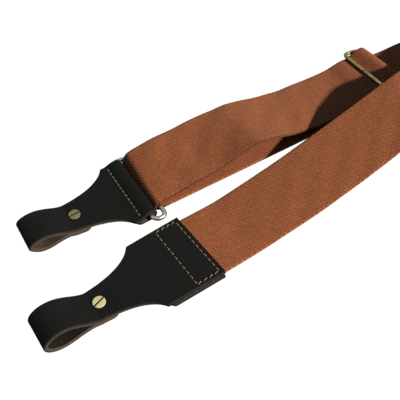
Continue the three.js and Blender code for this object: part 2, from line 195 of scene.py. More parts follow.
def strip(name, centre, side, half, thick, materials, columns=28, radius=None, arc_steps=3, end=None,
          shape=None, start_length=0.0, skew=None, wide=None, skived=(0.0, 0.0)):
    """A closed strip along centre, with side the direction of its width. shape(x, across, top, s)
    gives an extra height for each section point, and skew(points) moves the points in place. Its
    three materials are top, edge and bottom. Its first and last ends are thinned over the lengths
    in skived. With wide, a share for each station, the UV map holds that share and the depth
    through the thickness instead of the weave's lengths."""
    radius = thick / 2 if radius is None else radius
    half = np.broadcast_to(np.atleast_1d(np.asarray(half, float)), (len(centre),)).copy()
    t = tangents(centre)
    side = side - (side * t).sum(1)[:, None] * t
    side /= np.linalg.norm(side, axis=1)[:, None]
    normal = np.cross(t, side)
    across, height, group = strip_section(columns, half, thick, radius, arc_steps)
    s = np.concatenate([[0], np.cumsum(np.linalg.norm(np.diff(centre, axis=0), axis=1))])
    depth = height / thick + 0.5
    for span, distance in zip(skived, (s - s[0], s[-1] - s)):
        if not span:
            continue
        # the end is thinned from below to 30 percent, and its corners are rounded
        near = np.clip(distance / span, 0, 1)[:, None]
        height = np.where(height > 0, height, height * (0.3 + 0.7 * near))
        across = across * (1 - 0.35 * (1 - np.sqrt(1 - (1 - near) ** 2)))
    if shape is not None:
        height = height + shape(centre[:, :1], across, np.sign(height), s[:, None])
    points = centre[:, None] + across[..., None] * side[:, None] + height[..., None] * normal[:, None]
    if skew is not None:
        skew(points)
    rings, sides = across.shape
    i, j = np.meshgrid(np.arange(rings - 1), np.arange(sides), indexing="ij")
    k = (j + 1) % sides
    quads = np.stack([i * sides + j, (i + 1) * sides + j, (i + 1) * sides + k, i * sides + k], -1).reshape(-1, 4)
    groups = group[j].ravel()
    # the weave runs the same way on both faces, as seen from outside
    length = start_length + s
    sign = np.where(groups == 2, -1.0, 1.0)
    corner = quads.reshape(-1)
    u = length[corner // sides].reshape(-1, 4) * sign[:, None]
    w = across.ravel()[corner].reshape(-1, 4)
    edge_shift = (groups == 1)[:, None] * height.ravel()[corner].reshape(-1, 4)
    uv = np.stack([u, w + edge_shift], -1).reshape(-1, 2)
    caps = [list(range(sides)), list(range((rings - 1) * sides, rings * sides))[::-1]]
    cap_uv = [np.column_stack([across[r], height[r]])[::flip] for r, flip in ((0, 1), (-1, -1))]
    if wide is not None:
        uv = np.column_stack([np.asarray(wide)[corner // sides], depth.ravel()[corner]])
        cap_uv = [np.column_stack([np.full(sides, wide[r]), depth[r]])[::flip] for r, flip in ((0, 1), (-1, -1))]
    faces = [q[::-1] for q in quads.tolist()] + [c[::-1] for c in caps]
    uv = np.vstack([uv.reshape(-1, 4, 2)[:, ::-1].reshape(-1, 2)] + [c[::-1] for c in cap_uv])
    p = place(points, end)
    face_materials = list(groups) + [1, 1]
    ob = mesh_piece(name, p, faces, materials, face_materials, uv)
    make_outward(ob)
    return ob, float(s[-1])


def volume(ob):
    """The signed volume of a closed mesh: below 0 when its faces point inward."""
    me = ob.data
    me.calc_loop_triangles()
    co = np.zeros(len(me.vertices) * 3)
    me.vertices.foreach_get("co", co)
    tri = np.zeros(len(me.loop_triangles) * 3, np.int32)
    me.loop_triangles.foreach_get("vertices", tri)
    a, b, c = co.reshape(-1, 3)[tri.reshape(-1, 3)].transpose(1, 0, 2)
    return float((a * np.cross(b, c)).sum() / 6)


def make_outward(ob):
    if volume(ob) < 0:
        ob.data.flip_normals()
    return ob


def tube(path, radius, sides=16, closed=False):
    """Vertices, faces and uv of a round tube along a path in millimetres."""
    p = np.asarray(path, float)
    if closed:
        t = np.roll(p, -1, 0) - np.roll(p, 1, 0)
        t /= np.linalg.norm(t, axis=1)[:, None]
    else:
        t = tangents(p)
    frames = [np.cross(t[0], [0.31, 0.17, 0.93])]
    for i in range(len(p)):
        n = frames[-1] - frames[-1].dot(t[i]) * t[i]
        frames.append(n / np.linalg.norm(n))
    n = np.array(frames[1:])
    b = np.cross(t, n)
    a = np.linspace(0, 2 * np.pi, sides, endpoint=False)[None, :, None]
    r = np.broadcast_to(np.atleast_1d(radius), (len(p),))[:, None, None]
    v = p[:, None] + r * (np.cos(a) * n[:, None] + np.sin(a) * b[:, None])
    rings = len(p)
    i, j = np.meshgrid(np.arange(rings if closed else rings - 1), np.arange(sides), indexing="ij")
    k, m = (j + 1) % sides, (i + 1) % rings
    quads = np.stack([i * sides + j, i * sides + k, m * sides + k, m * sides + j], -1).reshape(-1, 4)
    s = np.concatenate([[0], np.cumsum(np.linalg.norm(np.diff(p, axis=0), axis=1))])
    s = np.append(s, s[-1] + np.linalg.norm(p[0] - p[-1]))
    uv = np.stack([
        np.stack([s[i], j / sides], -1), np.stack([s[i], (j + 1) / sides], -1),
        np.stack([s[i + 1], (j + 1) / sides], -1), np.stack([s[i + 1], j / sides], -1),
    ], 2).reshape(-1, 2)
    faces = quads.tolist()
    if not closed:
        faces += [list(range(sides))[::-1], list(range((rings - 1) * sides, rings * sides))]
        uv = np.vstack([uv, np.zeros((2 * sides, 2))])
    return v.reshape(-1, 3), faces, uv


def tube_piece(name, paths, radius, material, sides=16, closed=False, end=None, sharp=50):
    """One object of one or more tubes."""
    vertices, faces, uvs, start = [], [], [], 0
    for path in paths:
        v, f, uv = tube(path, radius, sides, closed)
        vertices.append(v)
        faces += [[start + k for k in q] for q in f]
        uvs.append(uv)
        start += len(v)
    ob = mesh_piece(name, place(np.vstack(vertices), end), faces, [material], None, np.vstack(uvs), sharp)
    return make_outward(ob)


def lathe(outline, sides=64):
    """Vertices and faces of an outline of [radius, z], turned about Z. It starts and ends at radius 0."""
    inner = np.array(outline[1:-1], float)
    a = np.linspace(0, 2 * np.pi, sides, endpoint=False)
    v = np.stack([
        inner[:, :1] * np.cos(a)[None],
        inner[:, :1] * np.sin(a)[None],
        np.broadcast_to(inner[:, 1:], (len(inner), sides)),
    ], -1).reshape(-1, 3)
    v = np.vstack([v, [0, 0, outline[0][1]], [0, 0, outline[-1][1]]])
    faces = []
    for i in range(len(inner) - 1):
        for j in range(sides):
            k = (j + 1) % sides
            faces.append([i * sides + j, i * sides + k, (i + 1) * sides + k, (i + 1) * sides + j])
    low, high, last = len(v) - 2, len(v) - 1, (len(inner) - 1) * sides
    for j in range(sides):
        k = (j + 1) % sides
        faces.append([low, k, j])
        faces.append([high, last + j, last + k])
    return v, faces


def cut(ob, cutter):
    """Takes cutter away from ob, in its mesh."""
    mod = ob.modifiers.new("cut", "BOOLEAN")
    mod.operation, mod.solver, mod.object = "DIFFERENCE", "EXACT", cutter
    bpy.context.view_layer.update()
    made = bpy.data.meshes.new_from_object(ob.evaluated_get(bpy.context.evaluated_depsgraph_get()))
    ob.modifiers.clear()
    old = ob.data
    ob.data = made
    bpy.data.meshes.remove(old)
    bpy.data.objects.remove(cutter)
    return ob


# ---- materials ----------------------------------------------------------------------------------
class Look:
    """A material under construction: short calls that add and join nodes."""

    def __init__(self, name, roughness, metallic=0.0, **sockets):
        self.material = bpy.data.materials.new(name)
        self.material.use_nodes = True
        self.tree = self.material.node_tree
        self.shader = self.tree.nodes["Principled BSDF"]
        self.shader.inputs["Roughness"].default_value = roughness
        self.shader.inputs["Metallic"].default_value = metallic
        for key, value in sockets.items():
            self.shader.inputs[key.replace("_", " ")].default_value = value

    def put(self, value, socket):
        if isinstance(value, bpy.types.NodeSocket):
            self.tree.links.new(value, socket)
        elif value is not None:
            socket.default_value = value

    def node(self, kind, inputs=(), output=0, **settings):
        n = self.tree.nodes.new(kind)
        for key, value in settings.items():
            setattr(n, key, value)
        items = inputs.items() if isinstance(inputs, dict) else enumerate(inputs)
        for key, value in items:
            self.put(value, n.inputs[key])
        return n.outputs[output]

    def math(self, operation, *values):
        return self.node("ShaderNodeMath", values, operation=operation)

    def uv(self):
        return self.node("ShaderNodeUVMap", uv_map="lay")

    def place(self):
        """Mesh coordinates, in millimetres."""
        c = self.node("ShaderNodeTexCoord", output="Object")
        return self.node("ShaderNodeVectorMath", [c, (1000, 1000, 1000)], operation="MULTIPLY")

    def scaled(self, vector, by):
        return self.node("ShaderNodeVectorMath", [vector, by], operation="MULTIPLY")

    def dot(self, vector, with_vector):
        return self.node("ShaderNodeVectorMath", [vector, with_vector], output="Value", operation="DOT_PRODUCT")

    def noise(self, vector, scale, detail=3.0, rough=0.5):
        inputs = {"Vector": vector, "Scale": scale, "Detail": detail, "Roughness": rough}
        return self.node("ShaderNodeTexNoise", inputs)

    def wave(self, value, swing, middle):
        """A cosine of value, whose period is 1, of height swing round middle."""
        cosine = self.math("COSINE", self.math("MULTIPLY", value, 2 * math.pi))
        return self.math("MULTIPLY_ADD", cosine, swing, middle)

    def spread(self, value, low, high, to_low=0.0, to_high=1.0):
        return self.node("ShaderNodeMapRange", [value, low, high, to_low, to_high])

    def mix(self, share, a, b):
        n = self.tree.nodes.new("ShaderNodeMix")
        n.data_type = "RGBA"
        self.put(share, n.inputs[0])
        self.put(a, n.inputs[6])
        self.put(b, n.inputs[7])
        return n.outputs[2]

    def colour(self, value):
        self.put(value, self.shader.inputs["Base Color"])

    def rough(self, value):
        self.put(value, self.shader.inputs["Roughness"])

    def bump(self, height, distance, strength=1.0, under=None):
        """distance is in millimetres."""
        n = self.tree.nodes.new("ShaderNodeBump")
        n.inputs["Strength"].default_value = strength
        n.inputs["Distance"].default_value = distance * MM
        self.put(height, n.inputs["Height"])
        self.put(under, n.inputs["Normal"])
        self.put(n.outputs["Normal"], self.shader.inputs["Normal"])
        return n.outputs["Normal"]


def rgb(r, g, b):
    """A colour from sRGB values of 0 to 255."""
    return tuple(((c / 255 + 0.055) / 1.055) ** 2.4 if c > 10 else c / 255 / 12.92 for c in (r, g, b)) + (1,)


def webbing_look(name, depth, shade=1.0):
    """Heavy cotton webbing: yarn floats in diagonal twill ribs about 1.55 mm apart. depth is the ribs'
    height in millimetres, and shade below 1 darkens the yarn all over as painted shade."""

    def yarn_colour(*values):
        return rgb(*(value * shade for value in values))

    m = Look(name, 0.95, Sheen_Weight=0.04, Sheen_Roughness=0.6, Specular_IOR_Level=0.2)
    uv = m.uv()
    drift = m.node("ShaderNodeTexNoise", {"Vector": uv, "Scale": 0.35, "Detail": 2.0}, "Color")
    warp = m.node("ShaderNodeVectorMath", [uv, m.scaled(drift, (0.9, 0.9, 0))], operation="ADD")
    s = m.dot(warp, (-0.235, 0.6, 0))
    t = m.dot(warp, (0.43, 0.34, 0))
    ribs = m.wave(s, -0.5, 0.5)
    knots = m.wave(t, -0.42, 0.58)
    fibre = m.noise(uv, 2.6, 3.0, 0.75)
    height = m.math("MULTIPLY", m.math("POWER", ribs, 0.6), knots)
    height = m.math("ADD", height, m.math("MULTIPLY_ADD", fibre, 0.7, -0.35))
    cell = m.node("ShaderNodeCombineXYZ", [m.math("FLOOR", s), m.math("FLOOR", t), 0.0])
    yarn = m.node("ShaderNodeTexWhiteNoise", {"Vector": cell})
    base = m.mix(m.spread(yarn, 0, 1), yarn_colour(156, 86, 46), yarn_colour(176, 102, 58))
    # painted shade: the grooves between the ribs are mixed towards dark brown
    base = m.mix(m.spread(height, 0.0, 0.62, 0.75, 0.0), base, rgb(88, 43, 22))
    # painted highlight: the rib crests are mixed towards light tan
    base = m.mix(m.spread(height, 0.6, 1.1, 0.0, 0.45), base, yarn_colour(196, 122, 72))
    base = m.mix(m.spread(m.noise(uv, 0.05, 4.0), 0.3, 0.7, 0.0, 0.2), base, rgb(140, 72, 34))
    m.colour(base)
    m.rough(m.spread(height, 0, 1, 0.98, 0.88))
    m.bump(height, depth, 0.7)
    return m.material


def grain_look():
    """Finished black leather with a fine grain."""
    m = Look("leather_grain", 0.6, Specular_IOR_Level=0.12)
    p = m.place()
    pores = m.node("ShaderNodeTexVoronoi", {"Vector": p, "Scale": 1.15, "Randomness": 1.0}, "Distance",
                   feature="F1")
    fine = m.noise(p, 2.4, 4.0, 0.6)
    broad = m.noise(p, 0.05, 3.0)
    base = m.mix(m.spread(broad, 0.3, 0.7), rgb(17, 17, 15), rgb(22, 21, 19))
    base = m.mix(m.spread(fine, 0.5, 0.8, 0.0, 0.35), base, rgb(34, 31, 27))
    m.colour(base)
    m.rough(m.spread(m.noise(p, 0.3, 3.0), 0.3, 0.7, 0.54, 0.7))
    creases = m.bump(m.noise(p, 0.35, 5.0, 0.6), 0.2, 0.3)
    m.bump(m.math("ADD", pores, m.math("MULTIPLY", fine, 0.6)), 0.1, 0.45, creases)
    return m.material


def edge_look():
    """A cut leather edge: dyed black from the grain side down, bare fibre low on it. It is dyed
    almost to the bottom where the UV map's first value, the wide share, is 1."""
    m = Look("leather_edge", 0.7, Specular_IOR_Level=0.25)
    p = m.place()
    wide = m.node("ShaderNodeSeparateXYZ", [m.uv()], "X")
    depth = m.node("ShaderNodeSeparateXYZ", [m.uv()], "Y")
    layers = m.noise(m.scaled(p, (0.6, 0.6, 3.0)), 0.9, 4.0, 0.7)
    wobble = m.math("MULTIPLY_ADD", layers, 0.3, -0.15)
    line = m.spread(wide, 0, 1, 0.72, 0.2)
    dyed = m.spread(m.math("SUBTRACT", m.math("ADD", depth, wobble), line), -0.06, 0.06)
    bare = m.mix(m.spread(layers, 0.3, 0.7), rgb(58, 46, 35), rgb(98, 80, 60))
    m.colour(m.mix(dyed, bare, rgb(27, 25, 22)))
    m.bump(layers, 0.2, 0.6)
    return m.material


def flesh_look(name, dark, mid, light):
    """The loops' inside: the bare flesh side of the leather."""
    m = Look(name, 0.92, Specular_IOR_Level=0.2)
    p = m.place()
    layers = m.noise(m.scaled(p, (0.5, 0.5, 3.0)), 0.6, 4.0, 0.7)
    fuzz = m.noise(p, 3.5, 3.0, 0.7)
    base = m.mix(m.spread(layers, 0.3, 0.7), mid, light)
    m.colour(m.mix(m.spread(fuzz, 0.4, 0.8, 0.0, 0.35), base, dark))
    m.bump(m.math("ADD", layers, m.math("MULTIPLY", fuzz, 0.6)), 0.2, 0.6)
    return m.material


def metal_look(name, clean, patina, amount, roughness, metallic=1.0):
    """Plated or solid metal with wear, fine scratches and some tarnish."""
    m = Look(name, roughness, metallic)
    p = m.place()
    tarnish = m.noise(p, 0.45, 5.0, 0.65)
    m.colour(m.mix(m.spread(tarnish, 0.4, 0.7, 0.0, amount), clean, patina))
    scratch = m.noise(m.scaled(p, (6.0, 0.8, 3.0)), 1.4, 3.0, 0.6)
    worn = m.math("ADD", tarnish, m.math("MULTIPLY", scratch, 0.5))
    m.rough(m.spread(worn, 0.5, 1.0, roughness - 0.08, roughness + 0.16))
    m.bump(scratch, 0.03, 0.4)
    return m.material


def thread_look():
    """Waxed tan thread, twisted from two strands."""
    m = Look("thread", 0.65, Specular_IOR_Level=0.3)
    uv = m.uv()
    turn = m.dot(uv, (1.1, 2.0, 0))
    ply = m.wave(turn, 0.5, 0.5)
    base = m.mix(ply, rgb(96, 74, 52), rgb(168, 138, 102))
    base = m.mix(m.spread(m.noise(m.place(), 1.2, 2.0), 0.4, 0.7, 0.0, 0.35), base, rgb(92, 74, 54))
    m.colour(base)
    m.bump(ply, 0.12, 0.7)
    return m.material


WEBBING = webbing_look("webbing", 0.22)
SELVAGE = webbing_look("webbing_selvage", 0.15)
# a darker copy for the upper run's edges: painted shade of the dark gap between the upper and lower runs
SHADED_SELVAGE = webbing_look("webbing_selvage_painted_shade", 0.15, 0.55)
GRAIN = grain_look()
CUT_EDGE = edge_look()
FLESH = flesh_look("leather_flesh", rgb(38, 29, 23), rgb(54, 42, 32), rgb(82, 66, 50))
# the front loop's inside is darker than the back loop's: painted shade inside the loop
SHADED_FLESH = flesh_look("leather_flesh_painted_shade", rgb(16, 13, 11), rgb(21, 18, 15), rgb(36, 31, 26))
BRASS = metal_look("brass", rgb(238, 228, 164), rgb(220, 206, 138), 0.5, 0.42, 0.55)
OLD_BRASS = metal_look("old_brass", rgb(150, 144, 102), rgb(112, 106, 72), 0.7, 0.4, 0.6)
# the slots are coloured dark: painted shade down inside each screw's slot
SLOT_SHADE = metal_look("slot_painted_shade", rgb(52, 44, 24), rgb(30, 26, 16), 1.0, 0.8, 0.0)
OLD_SLOT_SHADE = metal_look("old_slot_painted_shade", rgb(84, 78, 48), rgb(56, 50, 30), 1.0, 0.6, 0.4)
NICKEL = metal_look("ring_metal", rgb(216, 212, 198), rgb(150, 140, 112), 0.5, 0.26)
SLIDER_METAL = metal_look("slider_metal", rgb(190, 176, 124), rgb(118, 104, 66), 0.7, 0.28)
THREAD = thread_look()
WEB_LOOKS = [WEBBING, SELVAGE, WEBBING]


# ---- webbing ------------------------------------------------------------------------------------
# One length of webbing: its sewn end, round the slider's far bar, the lower run, round the ring,
# the upper run, under the slider's near bar and over the far one, the back leg, the turn-round
# and the front leg.
FLOOR_Z = WEB_THICK / 2 + 0.1
RING_WRAP = RING["wire"] + GAP + 0.4 + WEB_THICK / 2
SLIDER_WRAP = SLIDER["wire"] + GAP + WEB_THICK / 2
STEP = 1.0  # distance between the webbing's stations
WRAP_X, NEAR_BAR_X = 10.0, SLIDER["near"][0]
LEG_X = 246.5  # where the hump comes down to the floor
# how far along the back webbing's axis each piece starts and ends; make_webbing works out points there but does not
# use them
BLEND_LOWER, BLEND_UPPER, BLEND_LEG = (195, 20), (20, 200), (246, 373)


def back_line(x):
    """A point of the free line on the back webbing's axis, flat on the floor."""
    a = math.radians(BACK_WEB["yaw"])
    return [BACK_WEB["x"] + x * math.cos(a), BACK_WEB["y"] + x * math.sin(a), FLOOR_Z, 0]


# the turn-round's middle and radius, and its centre line
TURN_X, TURN_Z, TURN_R = 388, 17.8, 16.6
TURN_FREE = [
    [TURN_X + TURN_R * math.cos(math.radians(a)), 40 - a * 0.08, TURN_Z + TURN_R * math.sin(math.radians(a)), 0]
    for a in (-60, -30, 0, 30, 60)
]
# centre line of the free webbing: x, y, z and the roll in degrees
FREE_LINE = [
    back_line(LEG_X), back_line(LEG_X + 30), [315, 55, 1.0, 0], [350, 51.2, 1.0, 0], [373, 48.2, 1.1, 0],
    [TURN_X - 2, 46.4, 1.5, 0], *TURN_FREE, [TURN_X - 3, 33.6, TURN_Z + TURN_R, 0],
    [350, 28.4, 33.2, 1], [310, 22.4, 32, 2], [270, 16.3, 30.2, 3], [232, 10.8, 28.6, 3.5], [200, 7.2, 28.8, 6.5],
    [170, 5.6, 22.5, 9], [140, 4.7, 15.5, 10], [110, 4, 9.4, 9], [80, 3.2, 4.6, 6], [52, 2.4, 2.3, 2.4],
    [30, 1.5, 1.6, 0], [14, 0.7, 2.8, 0], [2, 0.2, 3.65, 0], [-8, 0, 3.75, 0], [-21, -0.3, 3.75, 0],
]
LEG_SPANS = 4  # spans of the free line that belong to the back leg


def cloth(seed, scale=0.22):
    """A gentle unevenness of woven cloth, in millimetres."""
    rng = np.random.default_rng(seed)
    waves = rng.uniform([0.012, -0.05, 0], [0.05, 0.05, 6.28], (7, 3))

    def shape(x, across, top, s):
        total = sum(np.cos(2 * math.pi * (a * s + b * across) + c) for a, b, c in waves)
        fade = np.clip(np.minimum(s, s.max() - s) / 25, 0, 1)
        return scale * total / 3 * fade

    return shape


def level_side(points):
    """The width's direction along Y, for each point."""
    return np.tile([0.0, 1.0, 0.0], (len(points), 1))


def webbing_lower():
    """The sewn end, its turn round the slider's far bar, and the lower run."""
    radius = SLIDER_WRAP
    far_x, far_z = SLIDER["far"]
    flap = smooth([[203, 5.05], [211, 7.2], [218, 9.9], [far_x - 3, far_z + radius - 0.5], [far_x, far_z + radius]])
    bend = arc(far_x, far_z, radius, 90, -90)
    tail = smooth([[far_x, far_z - radius], [far_x - 3, far_z - radius - 0.2], [216, 5.9], [205, 2.7],
                   [195, 1.3], [180, FLOOR_Z], [20, FLOOR_Z], [WRAP_X, 1.1]])
    return upright(resample(np.vstack([flap[:-1], bend, tail[1:]]), STEP))


# the upper run's arch, from the ring to the slider: x, z and how many degrees its far edge is up
ARCH = [
    [2.7, 7.1, 1], [3.5, 8, 2.2], [4.8, 8.9, 4], [6.4, 9.35, 5.4], [10, 10.1, 6.4],
    [20, 11.5, 6.9], [28, 12.3, 6.6], [36, 13.15, 5.6], [45, 13.8, 5.3], [53, 14.9, 4.7], [61, 16.05, 3.1],
    [70, 17.45, 0.6], [78, 18.65, -2.2], [86, 19.3, -4], [95, 18, -3.9], [105, 15.6, -2.9], [114, 13.05, -2.2],
    [124, 10.75, -1.7], [134, 9.15, -1.3], [145, 7.9, -0.8], [158, 7, 0], [180, 6.5, 0], [192, 7.2, 0],
    [199, 8.9, 0], [204.5, 9.9, 0], [209, 10.15, 0],
]


def webbing_upper():
    """The wrap round the ring and the upper run: points, and the direction of the width at each."""
    bend = arc(RING_FAR, RING["far_z"], RING_WRAP, 270, 140)
    bend = np.column_stack([bend, np.zeros(len(bend))])
    run = np.array([bend[-1], *ARCH, [NEAR_BAR_X, SLIDER["near"][1] - SLIDER_WRAP, 0]])
    run[:, 2] /= 100  # so that the lean takes no part in the curve's spacing
    line = resample(np.vstack([[[WRAP_X, 1.1, 0]], bend[:-1], smooth(run)]), STEP)
    lean = np.radians(line[:, 2] * 100)
    return upright(line), np.column_stack([np.zeros(len(line)), np.cos(lean), np.sin(lean)])


def free_points():
    """The free line's points and rolls, and how many of them are the back leg's."""
    line = np.array(FREE_LINE)
    fine = smooth(line[:, :3])
    rolls = np.interp(np.arange(len(fine)) / 24, np.arange(len(line)), line[:, 3])
    return fine, rolls, LEG_SPANS * 24 + 1


def hump_and_leg():
    """Over the slider's far bar, down to the floor, and along it to the turn-round."""
    over = SLIDER["far"][1] + SLIDER["wire"] + WEB_THICK * 1.5 + 2 * GAP
    under = SLIDER["near"][1] - SLIDER_WRAP
    far_x = SLIDER["far"][0]
    hump = smooth([[NEAR_BAR_X, under], [217.2, under + 2.3], [far_x - 1, over], [far_x + 4.5, over - 2.3],
                   [237.5, 6.2], [241.5, 2.6], [246, FLOOR_Z]])
    a = math.radians(BACK_WEB["yaw"])
    points = upright(hump)
    x = points[:, 0].copy()
    points[:, 0], points[:, 1] = BACK_WEB["x"] + x * math.cos(a), BACK_WEB["y"] + x * math.sin(a)
    fine, _, split = free_points()
    return resample(np.vstack([points, fine[4:split]]), STEP)


def turn_and_leg():
    """The turn-round and the front leg: points, and the direction of the width at each."""
    fine, rolls, split = free_points()
    line = resample(np.column_stack([fine[split - 1 :], rolls[split - 1 :]]), STEP)
    points, rolls = line[:, :3], np.radians(line[:, 3])
    t = tangents(points)
    side = level_side(points) - t[:, 1:2] * t
    side /= np.linalg.norm(side, axis=1)[:, None]
    roll = (rolls * np.sign(t[:, 0]))[:, None]
    side = side * np.cos(roll) + np.cross(t, side) * np.sin(roll)
    return points, side


def back_point(x):
    return place([[x, 0, FLOOR_Z]], BACK_WEB)[0]


def make_webbing():
    half = WEB_WIDTH / 2
    path = webbing_lower()
    lower, lower_length = strip("webbing_sewn_end_and_lower_run", path, level_side(path), half, WEB_THICK, WEB_LOOKS,
                                end=BACK_WEB)
    back_point(BLEND_LOWER[0])
    back_point(BLEND_LOWER[1])
    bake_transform(lower)
    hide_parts("webbing_sewn_end", "webbing_lower_run")
    path, side = webbing_upper()
    # the upper run's edges take the darker selvage, painted shade of the gap above the lower run
    upper, upper_length = strip("webbing_wrap_and_upper_run", path, side, half, WEB_THICK,
                                [WEBBING, SHADED_SELVAGE, WEBBING], end=BACK_WEB, shape=cloth(3),
                                start_length=lower_length)
    back_point(BLEND_UPPER[0])
    back_point(BLEND_UPPER[1])
    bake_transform(upper)
    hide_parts("webbing_ring_wrap", "webbing_upper_run")
    path = hump_and_leg()
    leg, leg_length = strip("webbing_hump_and_back_leg", path, level_side(path), half, WEB_THICK, WEB_LOOKS,
                            shape=cloth(5, 0.08), start_length=lower_length + upper_length)
    back_point(BLEND_LEG[0])
    back_point(BLEND_LEG[1])
    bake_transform(leg)
    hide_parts("webbing_hump", "webbing_back_leg")
    path, side = turn_and_leg()
    front, front_length = strip("webbing_turn_and_front_leg", path, side, half, WEB_THICK, WEB_LOOKS,
                                shape=cloth(7), start_length=lower_length + upper_length + leg_length)
    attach(front, "strap")
    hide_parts("webbing_turn", "webbing_front_leg")


# ---- leather ------------------------------------------------------------------------------------
def loop_profile(end):
    """The belt loop, from the clamped waist at the screw, out, round and back under the screw."""
    out = [[5.6, 6.3], [11, 9.3], [17, 13.9], [23, 17.5], [28, 18.6], [33, 17.9], [37.2, 14.8], [38.6, 10.8]]
    back = [[37, 6.4], [32, 2.9], [25, 2.2], [16, 3.8], [9, 4.1], [5, 3.05], [0, RETURN_Z], [-8, RETURN_Z]]
    raised = [[dx, TOP_Z + (z - TOP_Z) * end["rise"]] for dx, z in out]
    return [[end["screw"] - dx * end["reach"], z] for dx, z in raised + back]


def half_width(x, tab):
    """Half the leather's width at x: a wide part, a concave waist and a parallel strip."""
    u = np.linspace(0, 1, 60)[:, None]
    a = np.array([tab["shoulder_x"], tab["shoulder"]])
    d = np.array([tab["strip_x"], tab["strip"]])
    b = np.array([tab["shoulder_x"] - 5.5, tab["shoulder"] * 0.65])
    c = np.array([(tab["shoulder_x"] + tab["strip_x"]) / 2, tab["strip"] + 0.8])
    curve = (1 - u) ** 3 * a + 3 * (1 - u) ** 2 * u * b + 3 * (1 - u) * u**2 * c + u**3 * d
    known = np.vstack([curve[::-1], [tab["wide"], tab["half"]]])
    return np.interp(x, known[:, 0], known[:, 1])


def skew_front(points):
    """Turns the front leather's wide edge a little."""
    share = ease((points[..., 0] + 32) / 32)
    points[..., 0] += FRONT_SKEW * (0.5 - points[..., 1] / 2 / FRONT_TAB["half"]) * share


def box_stitch_holes():
    """Holes of the front end's box stitch, in order round the box."""
    near, far, half = BOX_STITCH["near"], BOX_STITCH["far"], BOX_STITCH["half"]
    corners = [(near, -half), (near, half), (far, half), (far, -half)]
    counts = [BOX_STITCH["across"], BOX_STITCH["along"]] * 2
    sides = zip(corners, corners[1:] + corners[:1], counts)
    return np.array([np.array(a) + (np.array(b) - a) * i / n for a, b, n in sides for i in range(n)])


def stitch_line_holes():
    """Holes of the seam that closes the back end's fold."""
    half = STITCH_LINE["half"]
    return np.array([[STITCH_LINE["x"], y] for y in np.linspace(-half, half, STITCH_LINE["holes"])])


def pitted(holes, depth=0.75, size=0.62, cord_depth=0.12):
    """Pulls the leather's grain side down at each hole, and a little along the seam."""

    def shape(x, across, top, s):
        down = np.zeros(across.shape)
        x = np.broadcast_to(x, across.shape)
        for hx, hy in holes:
            r2 = (x - hx) ** 2 + (across + hy) ** 2
            down -= depth * np.exp(-r2 / size**2) + cord_depth * np.exp(-r2 / 2.2**2)
        return np.where(top > 0, down, 0)

    return shape


def leather_profile(points, step=0.6):
    return upright(resample(smooth(points), step))


def stitches(holes, heights, closed, slant=0.32, sag=0.55, rise=0.34):
    """Thread from hole to hole: each stitch leans a little and dives into its holes."""
    paths = []
    count = len(holes) if closed else len(holes) - 1
    for i in range(count):
        a, b = holes[i], holes[(i + 1) % len(holes)]
        d = (b - a) / np.linalg.norm(b - a)
        n = np.array([-d[1], d[0]])
        u = np.linspace(0, 1, 11)[:, None]
        flat = a + (b - a) * (0.2 + 0.6 * u) + n * slant * (2 * u - 1)
        z = heights + rise - (sag + rise) * np.abs(2 * u - 1) ** 5
        paths.append(np.hstack([flat, z]))
    return paths


def wide_share(profile, start, end):
    """1 where a leather end is wide and 0 on its strip, for each point of its profile."""
    return ease((profile[:, 0] - start) / (end - start))


def make_front_leather():
    neck = [[0, SANDWICH_Z], [-22, SANDWICH_Z], [-45, 6.2], [-60, TOP_Z], [FRONT["screw"], TOP_Z]]
    profile = leather_profile(neck + loop_profile(FRONT))
    holes = box_stitch_holes()
    widths = half_width(profile[:, 0], FRONT_TAB)
    # its flesh side, the loop's inside, takes the darker flesh: painted shade
    tab, _ = strip("front_leather_end", profile, -level_side(profile), widths, LEATHER,
                   [GRAIN, CUT_EDGE, SHADED_FLESH], columns=72, radius=0.55, arc_steps=3, end=FRONT, shape=pitted(holes),
                   skew=skew_front, wide=wide_share(profile, -46, -38), skived=(0, 6))
    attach(tab, "strap")
    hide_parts("front_leather")
    backing_path = upright(resample([[0.3, 1.3], [-38.5, 1.3]], 0.8))
    widths = half_width(backing_path[:, 0], FRONT_TAB)
    backing, _ = strip("front_backing", backing_path, -level_side(backing_path), widths, LEATHER - 0.4,
                       [FLESH, CUT_EDGE, GRAIN], columns=40, radius=0.5, arc_steps=3, end=FRONT, skew=skew_front,
                       wide=np.ones(len(widths)), skived=(0, 5))
    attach(backing, "strap")
    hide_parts("front_backing_leather")
    top = SANDWICH_Z + LEATHER / 2
    seam = holes.copy()
    skew_front(seam)
    thread = tube_piece("front_stitches", stitches(seam, top, True), 0.36, THREAD, 12, end=FRONT)
    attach(thread, "strap")
    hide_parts("front_box_stitch")


